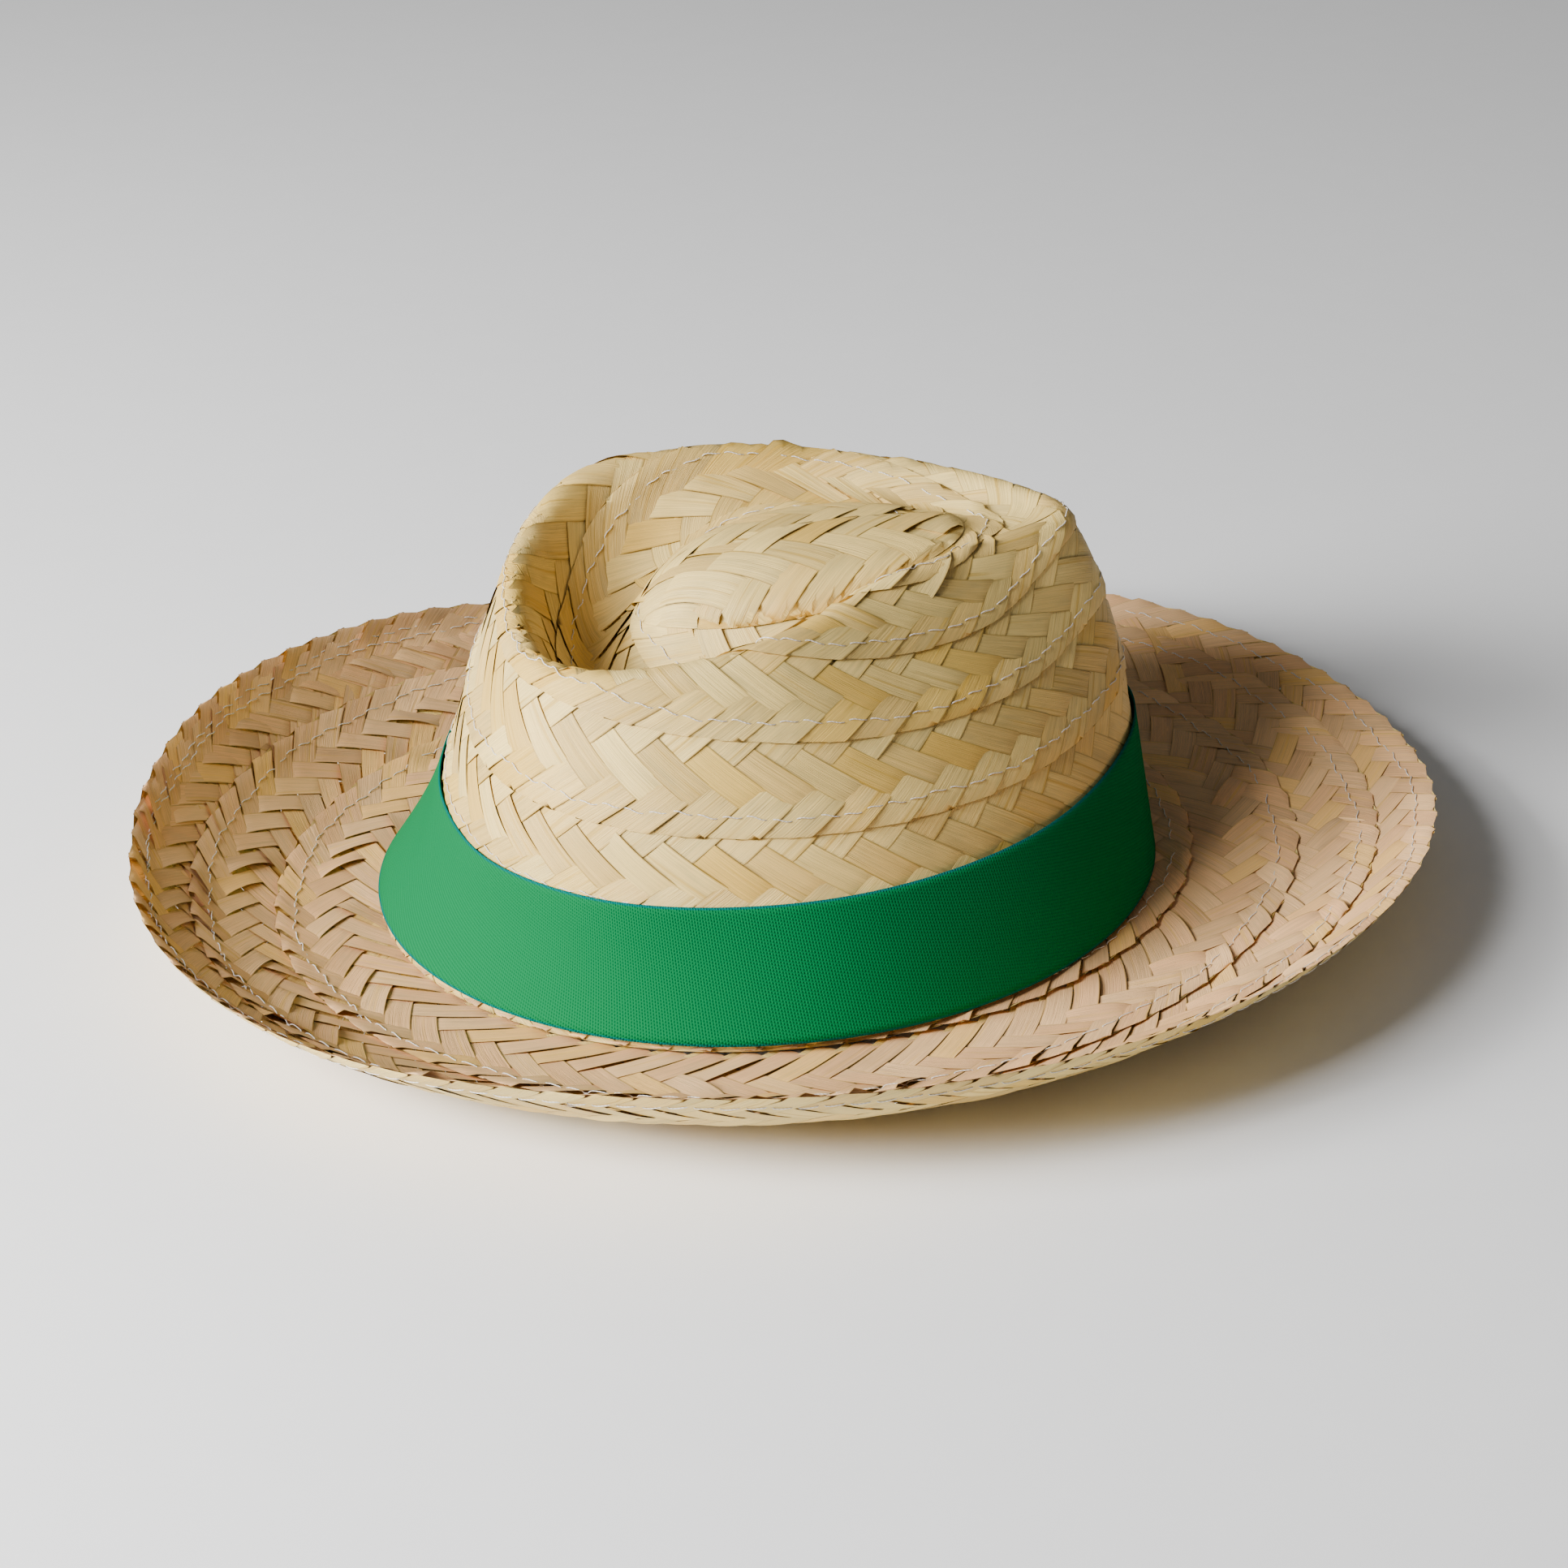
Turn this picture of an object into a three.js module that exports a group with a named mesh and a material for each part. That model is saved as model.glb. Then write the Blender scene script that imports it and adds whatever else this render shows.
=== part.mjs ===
// A palm straw hat with a creased crown, as three pieces: crown, brim and ribbon band.
// Millimetres, +X to the front of the hat, +Y to the wearer's left, +Z up.
import * as THREE from 'three';

// Head opening: the inside of the crown's wall where it meets the brim
const HEAD_LENGTH = 203;
const HEAD_WIDTH = 184.8;

// Walls of sewn plait, the step where one row of plait laps the next, and the gap between pieces
const CROWN_WALL = 2;
const BRIM_WALL = 2;
const LAP = 0.8;
const GAP = 0.3;

// Crown: the height of its crest over the table, and half the length and width of the crest's outline
const CREST_HEIGHT = 98;
const CREST_HALF_LENGTH = 80;
const CREST_HALF_WIDTH = 51;
const CREST_LIP = 2;
const WALL_ROWS = 4;

// Dent in the top: its depth under the crest, and the raised middle that it runs round
const DENT_DEPTH = 34;
const MOUND_FRONT_SHIFT = 14;
const MOUND_LEFT_SHIFT = 5;
const MOUND_HALF_LENGTH = 39;
const MOUND_HALF_WIDTH = 22;
const MOUND_DROP = 7;
const MOUND_CROWNING = 2;

// Brim: its width, how far its edge turns up and how sharply, and the flat ring that it rests on
const BRIM_WIDTH = 75;
const BRIM_RISE = 30;
const BRIM_CURL = 2.4;
const FLAT_RING = 8;
const BRIM_ROWS = 3;

// Ribbon band, laid up the wall from just above the crown's foot
const BAND_WIDTH = 34;
const BAND_THICKNESS = 1;
const BAND_FOOT = 2.4;

// Facets
const AROUND = 60;
const BRIM_AROUND = 72;
const STEPS_PER_ROW = 3;
const TOP_STEPS = 11;
const LINING_STEPS_PER_ROW = 2;
const LINING_TOP_STEPS = 10;
const BAND_STEPS = 3;
const MERIDIAN_SAMPLES = 200;

const CROWN_COLOUR = 0xd9c79c;
const BRIM_COLOUR = 0xcfae8a;
const RIBBON_COLOUR = 0x009a5c;
const STRAW_ROUGHNESS = 0.7;
const RIBBON_ROUGHNESS = 0.85;

// One row for every twelfth of a turn, from the front towards the wearer's left.
// along, across and up place the crest as shares of its half length, half width and height;
// swell and flare bend the wall out at mid height and in above its foot, as shares of the height;
// groove and sink are the dent's depth and the mound edge's fall, as shares of the dent's depth.
const CROWN_SECTIONS = [
  { along: 1.05, across: -0.06, up: 0.965, swell: 0.075, flare: 0.02, groove: 0.12, sink: 0 },
  { along: 0.9, across: 0.51, up: 0.97, swell: 0.095, flare: 0.02, groove: 0.22, sink: 0 },
  { along: 0.46, across: 0.94, up: 1.015, swell: 0.1, flare: 0.02, groove: 0.38, sink: 0 },
  { along: -0.03, across: 1.08, up: 1.065, swell: 0.09, flare: 0.02, groove: 0.56, sink: 0.05 },
  { along: -0.42, across: 1.04, up: 1.06, swell: 0.06, flare: 0.04, groove: 0.86, sink: 0.1 },
  { along: -0.66, across: 0.65, up: 0.98, swell: 0.01, flare: 0.06, groove: 1, sink: 0.2 },
  { along: -0.78, across: 0.02, up: 0.945, swell: -0.02, flare: 0.07, groove: 1, sink: 0.25 },
  { along: -0.78, across: -0.56, up: 0.93, swell: 0, flare: 0.07, groove: 1, sink: 0.25 },
  { along: -0.55, across: -0.84, up: 0.935, swell: 0.065, flare: 0.05, groove: 0.95, sink: 0.22 },
  { along: -0.14, across: -0.86, up: 0.955, swell: 0.1, flare: 0.02, groove: 0.7, sink: 0.15 },
  { along: 0.28, across: -0.54, up: 0.96, swell: 0.15, flare: 0.02, groove: 0.25, sink: 0.05 },
  { along: 0.72, across: -0.27, up: 0.955, swell: 0.11, flare: 0.02, groove: 0.08, sink: 0 },
];

// rise and reach are the height of the brim's edge and the width of the brim, as shares of theirs
const BRIM_SECTIONS = [
  { rise: 0.42, reach: 1.04 },
  { rise: 0.36, reach: 1.027 },
  { rise: 0.22, reach: 1 },
  { rise: 0.2, reach: 0.957 },
  { rise: 0.72, reach: 0.94 },
  { rise: 0.99, reach: 0.93 },
  { rise: 0.78, reach: 0.933 },
  { rise: 0.78, reach: 0.941 },
  { rise: 0.96, reach: 0.983 },
  { rise: 0.96, reach: 1.013 },
  { rise: 0.89, reach: 1.04 },
  { rise: 0.72, reach: 1.047 },
];

// Where the wall's controls lie between foot and crest, and the dent's between crest and mound
const WALL_SHARES = { low: 0.24, middle: 0.56, high: 0.82 };
const DENT_SHARES = { inner: 0.38, innerDepth: 0.62, floor: 0.5, outer: 0.55, outerFloor: 0.62, cap: 0.55 };

// The crest is the fifth control of a meridian
const CREST_CONTROL = 4;

// How far the normals look to each side, in turns of angle and in stations
const NUDGE_ANGLE = Math.PI / 360;
const NUDGE_STATION = 0.01;

const turn = 2 * Math.PI;
const footHeight = BRIM_WALL + GAP;
const halfLength = HEAD_LENGTH / 2 + CROWN_WALL / 2;
const halfWidth = HEAD_WIDTH / 2 + CROWN_WALL / 2;
const moundHeight = CREST_HEIGHT - MOUND_DROP;

// A column of a table at any angle, by a closed Catmull-Rom curve through its rows
function section(table, column, angle) {
  const count = table.length;
  const place = ((((angle / turn) % 1) + 1) % 1) * count;
  const row = Math.floor(place);
  const f = place - row;
  const [a, b, c, d] = [-1, 0, 1, 2].map((k) => table[(row + k + count) % count][column]);
  const bend = (2 * a - 5 * b + 4 * c - d) * f * f + (3 * b - a - 3 * c + d) * f ** 3;
  return (2 * b + (c - a) * f + bend) / 2;
}

// The head oval at the middle of the crown's wall, and its outward direction
function ovalPoint(angle, height) {
  return new THREE.Vector3(halfLength * Math.cos(angle), halfWidth * Math.sin(angle), height);
}

function ovalNormal(angle) {
  return new THREE.Vector3(halfWidth * Math.cos(angle), halfLength * Math.sin(angle), 0).normalize();
}

// Controls of the crown's meridian at an angle, from its foot over the crest to the middle of the mound
function crownControls(angle) {
  const foot = ovalPoint(angle, footHeight);
  const crest = new THREE.Vector3(
    CREST_HALF_LENGTH * section(CROWN_SECTIONS, 'along', angle),
    CREST_HALF_WIDTH * section(CROWN_SECTIONS, 'across', angle),
    CREST_HEIGHT * section(CROWN_SECTIONS, 'up', angle),
  );
  const outward = new THREE.Vector3(Math.cos(angle), Math.sin(angle), 0);
  const swell = CREST_HEIGHT * section(CROWN_SECTIONS, 'swell', angle);
  const flare = CREST_HEIGHT * section(CROWN_SECTIONS, 'flare', angle);
  const wall = (share, inward) => foot.clone().lerp(crest, share)
    .addScaledVector(outward, swell * 4 * share * (1 - share) - inward);

  const groove = DENT_DEPTH * section(CROWN_SECTIONS, 'groove', angle);
  const sink = DENT_DEPTH * section(CROWN_SECTIONS, 'sink', angle) / 2;
  const mound = new THREE.Vector3(MOUND_FRONT_SHIFT, MOUND_LEFT_SHIFT, moundHeight + MOUND_CROWNING);
  const edge = new THREE.Vector3(
    MOUND_FRONT_SHIFT + MOUND_HALF_LENGTH * Math.cos(angle),
    MOUND_LEFT_SHIFT + MOUND_HALF_WIDTH * Math.sin(angle),
    moundHeight - sink,
  );
  const floor = crest.clone().lerp(edge, DENT_SHARES.floor).setZ(crest.z - groove);
  const inner = crest.clone().lerp(floor, DENT_SHARES.inner)
    .setZ(crest.z - groove * DENT_SHARES.innerDepth);
  const outer = floor.clone().lerp(edge, DENT_SHARES.outer)
    .setZ(floor.z * DENT_SHARES.outerFloor + edge.z * (1 - DENT_SHARES.outerFloor));
  const cap = edge.clone().lerp(mound, DENT_SHARES.cap).setZ(mound.z);
  const lip = crest.clone().setZ(crest.z + CREST_LIP);
  return [
    foot,
    wall(WALL_SHARES.low, flare),
    wall(WALL_SHARES.middle, 0),
    wall(WALL_SHARES.high, 0),
    lip,
    inner,
    floor,
    outer,
    edge,
    cap,
    mound,
  ];
}

// Uniform cubic B-spline that starts and ends on its first and last controls
function splinePoint(controls, place) {
  const last = controls.length - 1;
  const row = Math.min(Math.floor(place), last - 1);
  const f = place - row;
  const weights = [(1 - f) ** 3, 3 * f ** 3 - 6 * f * f + 4, -3 * f ** 3 + 3 * f * f + 3 * f + 1, f ** 3];
  const control = (k) => {
    if (k < 0) return controls[0].clone().multiplyScalar(2).sub(controls[1]);
    if (k > last) return controls[last].clone().multiplyScalar(2).sub(controls[last - 1]);
    return controls[k];
  };
  const point = new THREE.Vector3();
  weights.forEach((weight, k) => point.addScaledVector(control(row + k - 1), weight / 6));
  return point;
}

// Samples of the meridian at an angle, with the length run so far; each angle is worked out once
const meridians = new Map();

function meridian(angle) {
  const key = angle.toFixed(6);
  if (meridians.has(key)) return meridians.get(key);
  const controls = crownControls(angle);
  const end = controls.length - 1;
  const points = [];
  const lengths = [];
  for (let k = 0; k <= MERIDIAN_SAMPLES; k += 1) {
    points.push(splinePoint(controls, end * k / MERIDIAN_SAMPLES));
    lengths.push(k === 0 ? 0 : lengths[k - 1] + points[k].distanceTo(points[k - 1]));
  }
  const crestLength = lengths[Math.round(MERIDIAN_SAMPLES * CREST_CONTROL / end)];
  const line = { points, lengths, crestLength, total: lengths[MERIDIAN_SAMPLES] };
  meridians.set(key, line);
  return line;
}

function pointAtLength(line, length) {
  let k = 1;
  while (k < MERIDIAN_SAMPLES && line.lengths[k] < length) k += 1;
  const before = line.lengths[k - 1];
  return line.points[k - 1].clone().lerp(line.points[k], (length - before) / (line.lengths[k] - before));
}

// The middle of the crown's straw: station 0 is the foot of the wall, 1 the crest, 2 the mound's middle
function crownSurface(angle, station) {
  const line = meridian(angle);
  const length = station <= 1
    ? line.crestLength * station
    : line.crestLength + (line.total - line.crestLength) * (station - 1);
  return pointAtLength(line, length);
}

// The middle of the brim's straw: station 0 is its inner edge under the crown's wall, 1 its rim
function brimSurface(angle, station) {
  const reach = BRIM_WIDTH * section(BRIM_SECTIONS, 'reach', angle);
  const rise = BRIM_RISE * Math.max(section(BRIM_SECTIONS, 'rise', angle), 0);
  const run = Math.sqrt(reach * reach - rise * rise) + CROWN_WALL / 2;
  const flat = FLAT_RING / run;
  const bend = Math.max(station - flat, 0) / (1 - flat);
  return ovalPoint(angle, BRIM_WALL / 2 + rise * bend ** BRIM_CURL)
    .addScaledVector(ovalNormal(angle), run * station - CROWN_WALL / 2);
}

// A point moved off its surface along the normal, which comes from central differences
function offsetPoint(surface, angle, station, lastStation, distance) {
  const around = surface(angle + NUDGE_ANGLE, station).sub(surface(angle - NUDGE_ANGLE, station));
  const up = surface(angle, Math.min(station + NUDGE_STATION, lastStation))
    .sub(surface(angle, Math.max(station - NUDGE_STATION, 0)));
  return surface(angle, station).addScaledVector(around.cross(up).normalize(), distance);
}

function ringOf(count, pointAt) {
  return Array.from({ length: count }, (_, i) => pointAt(turn * i / count));
}

function crownRing(station, distance) {
  return ringOf(AROUND, (angle) => offsetPoint(crownSurface, angle, station, 2, distance));
}

// A brim surface's normal points down, so what stands over the straw has a negative distance
function brimRing(station, distance) {
  return ringOf(BRIM_AROUND, (angle) => offsetPoint(brimSurface, angle, station, 1, distance));
}

// One closed body through rings of points; a ring of one point is a pole
function bodyOfRings(rings, closed) {
  const positions = [];
  const index = [];
  const starts = rings.map((ring) => {
    const start = positions.length / 3;
    ring.forEach((point) => positions.push(point.x, point.y, point.z));
    return start;
  });
  const corner = (ring, i) => starts[ring] + i % rings[ring].length;
  const join = (from, to) => {
    const count = Math.max(rings[from].length, rings[to].length);
    for (let i = 0; i < count; i += 1) {
      if (rings[from].length > 1) index.push(corner(from, i), corner(from, i + 1), corner(to, i + 1));
      if (rings[to].length > 1) index.push(corner(from, i), corner(to, i + 1), corner(to, i));
    }
  };
  for (let k = 0; k + 1 < rings.length; k += 1) join(k, k + 1);
  if (closed) join(rings.length - 1, 0);
  const geometry = new THREE.BufferGeometry();
  geometry.setAttribute('position', new THREE.Float32BufferAttribute(positions, 3));
  geometry.setIndex(index);
  geometry.computeVertexNormals();
  return geometry;
}

// On the wall each row laps the one below: its lower edge stands out by LAP, and it runs in to
// nothing at its upper edge. The top of the crown is smooth.
function crownGeometry() {
  const outside = [];
  for (let row = 0; row < WALL_ROWS; row += 1) {
    for (let k = 0; k <= STEPS_PER_ROW; k += 1) {
      const share = k / STEPS_PER_ROW;
      outside.push(crownRing((row + share) / WALL_ROWS, CROWN_WALL / 2 + LAP * (1 - share)));
    }
  }
  for (let k = 1; k < TOP_STEPS; k += 1) {
    outside.push(crownRing(1 + k / TOP_STEPS, CROWN_WALL / 2));
  }
  const inside = [];
  const wallSteps = WALL_ROWS * LINING_STEPS_PER_ROW;
  for (let k = 0; k < wallSteps; k += 1) {
    inside.push(crownRing(k / wallSteps, -CROWN_WALL / 2));
  }
  for (let k = 0; k < LINING_TOP_STEPS; k += 1) {
    inside.push(crownRing(1 + k / LINING_TOP_STEPS, -CROWN_WALL / 2));
  }
  // The foot is flat, and stands on the brim
  [outside[0], inside[0]].forEach((ring) => ring.forEach((point) => point.setZ(footHeight)));
  const middle = crownSurface(0, 2);
  const top = [middle.clone().setZ(middle.z + CROWN_WALL / 2)];
  const under = [middle.clone().setZ(middle.z - CROWN_WALL / 2)];
  return bodyOfRings([under, ...inside.reverse(), ...outside, top], false);
}

// On top of the brim each row lies over the next one out, so it stands up by LAP at its outer edge
function brimGeometry() {
  const top = [];
  const under = [];
  for (let row = 0; row < BRIM_ROWS; row += 1) {
    for (let k = 0; k <= STEPS_PER_ROW; k += 1) {
      const share = k / STEPS_PER_ROW;
      top.push(brimRing((row + share) / BRIM_ROWS, -BRIM_WALL / 2 - LAP * share));
    }
  }
  const steps = BRIM_ROWS * STEPS_PER_ROW;
  for (let k = 0; k <= steps; k += 1) {
    under.push(brimRing(k / steps, BRIM_WALL / 2));
  }
  return bodyOfRings([...under, ...top.reverse()], true);
}

// The ribbon follows the wall at a constant distance, and clears the lapped rows behind it
function bandGeometry() {
  const backDistance = CROWN_WALL / 2 + LAP + GAP;
  const ribbonRing = (step, distance) => ringOf(AROUND, (angle) => {
    const station = (BAND_FOOT + BAND_WIDTH * step / BAND_STEPS) / meridian(angle).crestLength;
    return offsetPoint(crownSurface, angle, station, 2, distance);
  });
  const face = [];
  const back = [];
  for (let step = 0; step <= BAND_STEPS; step += 1) {
    face.push(ribbonRing(step, backDistance + BAND_THICKNESS));
    back.push(ribbonRing(step, backDistance));
  }
  return bodyOfRings([...face, ...back.reverse()], true);
}

function piece(name, geometry, color, roughness) {
  const mesh = new THREE.Mesh(geometry, new THREE.MeshStandardMaterial({ color, roughness, metalness: 0 }));
  mesh.name = name;
  return mesh;
}

const hat = new THREE.Group();
hat.add(piece('crown', crownGeometry(), CROWN_COLOUR, STRAW_ROUGHNESS));
hat.add(piece('brim', brimGeometry(), BRIM_COLOUR, STRAW_ROUGHNESS));
hat.add(piece('hatband', bandGeometry(), RIBBON_COLOUR, RIBBON_ROUGHNESS));

// The origin lies on the table under the middle of the hat's outline
const bounds = new THREE.Box3().setFromObject(hat);
const middle = bounds.getCenter(new THREE.Vector3());
hat.position.set(-middle.x, -middle.y, -bounds.min.z);
hat.updateMatrixWorld(true);

export default hat;
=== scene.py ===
"""Visual model of a woven palm straw hat: plaited strands, sewing thread and a ribbon band.

All shapes are worked out in millimetres on the hat's own surfaces and handed over in metres.
"""

from __future__ import annotations

import logging
import math
from collections.abc import Callable
from dataclasses import dataclass
from enum import Enum
from typing import Protocol

import bpy
import numpy as np
from mathutils import Matrix, Vector

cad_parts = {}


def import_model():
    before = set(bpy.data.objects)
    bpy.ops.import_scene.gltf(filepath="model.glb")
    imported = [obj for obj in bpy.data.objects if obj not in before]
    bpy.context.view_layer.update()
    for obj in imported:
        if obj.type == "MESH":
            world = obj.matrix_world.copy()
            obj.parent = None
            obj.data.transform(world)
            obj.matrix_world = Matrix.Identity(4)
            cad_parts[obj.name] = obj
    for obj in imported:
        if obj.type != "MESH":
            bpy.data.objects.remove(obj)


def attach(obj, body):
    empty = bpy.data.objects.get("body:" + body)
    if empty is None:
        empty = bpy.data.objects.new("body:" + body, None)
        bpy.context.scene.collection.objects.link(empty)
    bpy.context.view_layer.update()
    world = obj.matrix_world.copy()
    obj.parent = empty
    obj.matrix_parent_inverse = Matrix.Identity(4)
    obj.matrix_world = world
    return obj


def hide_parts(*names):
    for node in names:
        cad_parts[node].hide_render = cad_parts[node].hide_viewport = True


Array = np.ndarray
Pair = tuple[float, float]
Triple = tuple[float, float, float]

LOG = logging.getLogger("hat")
MM = 0.001
TURN = 2 * math.pi
ROOT2 = math.sqrt(2)

# From the hat's own frame to the CAD's, which has its origin under the middle of the outline
SHIFT = np.array((-5.368, -0.350, 0.0))

# along, across and up place the crest; swell and flare bend the wall; groove and sink shape the dent
CROWN_TABLE = np.array(
    [
        (1.05, -0.06, 0.965, 0.075, 0.02, 0.12, 0.0),
        (0.9, 0.51, 0.97, 0.095, 0.02, 0.22, 0.0),
        (0.46, 0.94, 1.015, 0.1, 0.02, 0.38, 0.0),
        (-0.03, 1.08, 1.065, 0.09, 0.02, 0.56, 0.05),
        (-0.42, 1.04, 1.06, 0.06, 0.04, 0.86, 0.1),
        (-0.66, 0.65, 0.98, 0.01, 0.06, 1.0, 0.2),
        (-0.78, 0.02, 0.945, -0.02, 0.07, 1.0, 0.25),
        (-0.78, -0.56, 0.93, 0.0, 0.07, 1.0, 0.25),
        (-0.55, -0.84, 0.935, 0.065, 0.05, 0.95, 0.22),
        (-0.14, -0.86, 0.955, 0.1, 0.02, 0.7, 0.15),
        (0.28, -0.54, 0.96, 0.15, 0.02, 0.25, 0.05),
        (0.72, -0.27, 0.955, 0.11, 0.02, 0.08, 0.0),
    ]
)

# rise and reach of the brim's edge
BRIM_TABLE = np.array(
    [
        (0.42, 1.04),
        (0.36, 1.027),
        (0.22, 1.0),
        (0.2, 0.957),
        (0.72, 0.94),
        (0.99, 0.93),
        (0.78, 0.933),
        (0.78, 0.941),
        (0.96, 0.983),
        (0.96, 1.013),
        (0.89, 1.04),
        (0.72, 1.047),
    ]
)

# degrees since the front and distance from the crown's foot of the brim's free edges, as the photo shows
BRIM_EDGES = np.array(
    [
        (-120, 0.8),
        (264, 1.0),
        (280, 3.0),
        (360, 15.0),
        (540, 30.0),
        (630, 33.0),
        (720, 43.0),
        (900, 54.0),
        (990, 58.5),
        (1080, 64.5),
    ]
)

# Shares of the way from foot to crest, from crest over the dent's floor to the mound's edge, and to its top
WALL_SHARES = (0.24, 0.56, 0.82)
DENT_INNER = 0.38
INNER_DEPTH = 0.62
DENT_FLOOR = 0.5
DENT_OUTER = 0.55
OUTER_RISE = 0.38
MOUND_CAP = 0.55

# Degrees from the front to the wearer's right
RIGHT = 270.0

# Where a plait's length is measured, as a share of its width from the free edge
TRACK_SHARE = 0.4

# A float is kept if this share of it is covered and it is this long, in millimetres
LEAST_COVERED = 0.2
LEAST_LENGTH = 0.6

# How far apart strands lie along the finish's noise, in millimetres
STRAND_SPACING = 400


def smooth(x: Array) -> Array:
    """Smoothstep: 3x^2 - 2x^3 of x held between 0 and 1."""
    x = np.clip(x, 0, 1)
    return x * x * (3 - 2 * x)


def before(angle: Array, count: int) -> tuple[Array, Array]:
    """The last of count even steps of a turn before an angle, and the share of the way to the next.

    Args:
        angle: angles in radians.
        count: number of steps.

    Returns:
        Numbers of the steps, and shares.
    """
    place = np.mod(angle / TURN, 1) * count
    step = np.floor(place).astype(int)
    return step % count, place - step


def sections(table: Array, angle: Array) -> Array:
    """Rows of a table at any angle, by a closed Catmull-Rom curve through them.

    Args:
        table: one row for every twelfth of a turn.
        angle: angles in radians.

    Returns:
        One row of values per angle.
    """
    row, f = before(angle, len(table))
    f = f[:, None]
    a, b, c, d = (table[(row + k) % len(table)] for k in (-1, 0, 1, 2))
    bend = (2 * a - 5 * b + 4 * c - d) * f**2 + (3 * b - a - 3 * c + d) * f**3
    return (2 * b + (c - a) * f + bend) / 2


@dataclass(frozen=True)
class HatSizes:
    """The CAD's driving sizes, in millimetres, at the middle of the straw."""

    half_length: float = 102.5
    half_width: float = 93.4
    foot: float = 2.3
    crest: Triple = (80.0, 51.0, 98.0)
    lip: float = 2.0
    dent: float = 34.0
    mound: Triple = (14.0, 5.0, 91.0)
    mound_half: Pair = (39.0, 22.0)
    mound_crowning: float = 2.0
    brim_width: float = 75.0
    brim_rise: float = 30.0
    brim_curl: float = 2.4
    flat_ring: float = 8.0
    wall: float = 2.0


@dataclass
class Surface:
    """A surface closed in angle, sampled at even lengths along each meridian.

    Args:
        points: positions, as angles by stations by three.
        totals: each meridian's length in millimetres.
    """

    points: Array
    totals: Array

    def __post_init__(self) -> None:
        """Normals are the cross product of the differences round and along."""
        around = np.roll(self.points, -1, 0) - np.roll(self.points, 1, 0)
        along = np.gradient(self.points, axis=1)
        normals = np.cross(around, along)
        self.normals = normals / np.maximum(np.linalg.norm(normals, axis=-1, keepdims=True), 1e-9)
        self.normals[:, -1] = self.normals[:, -2]

    def total(self, angle: Array) -> Array:
        """Length of the meridian at an angle, by linear interpolation round the turn."""
        row, f = before(angle, len(self.totals))
        return self.totals[row] * (1 - f) + self.totals[(row + 1) % len(self.totals)] * f

    def at(self, angle: Array, station: Array) -> tuple[Array, Array]:
        """Positions and unit normals, bilinear in the grid and straight on past its ends.

        Args:
            angle: angles in radians.
            station: shares of the meridian's length.

        Returns:
            Positions and normals, with a last axis of three.
        """
        angles, stations = self.points.shape[:2]
        i, f = before(angle, angles)
        after, f = (i + 1) % angles, f[..., None]
        v = station * (stations - 1)
        j = np.clip(np.floor(v).astype(int), 0, stations - 2)
        g = (v - j)[..., None]

        def mix(grid: Array, share: Array) -> Array:
            """Weighted mean of the four grid values round a point."""
            near, far = (grid[i, k] * (1 - f) + grid[after, k] * f for k in (j, j + 1))
            return near * (1 - share) + far * share

        normal = mix(self.normals, np.clip(g, 0, 1))
        return mix(self.points, g), normal / np.linalg.norm(normal, axis=-1, keepdims=True)


def evened(points: Array, stations: int) -> Surface:
    """Resamples every meridian at even steps of its own length.

    Args:
        points: positions, as angles by points by three.
        stations: points along each meridian of the surface.

    Returns:
        The surface.
    """
    steps = np.linalg.norm(np.diff(points, axis=1), axis=-1)
    run = np.concatenate([np.zeros((len(points), 1)), np.cumsum(steps, axis=1)], axis=1)
    share = np.linspace(0, 1, stations)
    rows = [
        np.stack([np.interp(share * r[-1], r, p[:, k]) for k in range(3)], -1) for r, p in zip(run, points)
    ]
    return Surface(np.array(rows), run[:, -1])


def spline(controls: list[Array], samples: int) -> Array:
    """Uniform cubic B-splines, drawn on to their first and last control points.

    Args:
        controls: the control points of every curve, as one array of angles by three for each.
        samples: points along each curve.

    Returns:
        Positions, as angles by samples by three.
    """
    stack = np.stack([2 * controls[0] - controls[1], *controls, 2 * controls[-1] - controls[-2]])
    place = np.linspace(0, len(stack) - 3, samples)
    row = np.minimum(place.astype(int), len(stack) - 4)
    f = place - row
    weights = ((1 - f) ** 3, 3 * f**3 - 6 * f**2 + 4, -3 * f**3 + 3 * f**2 + 3 * f + 1, f**3)
    points = sum(weight[:, None, None] / 6 * stack[row + k] for k, weight in enumerate(weights))
    return np.swapaxes(points, 0, 1)


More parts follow.
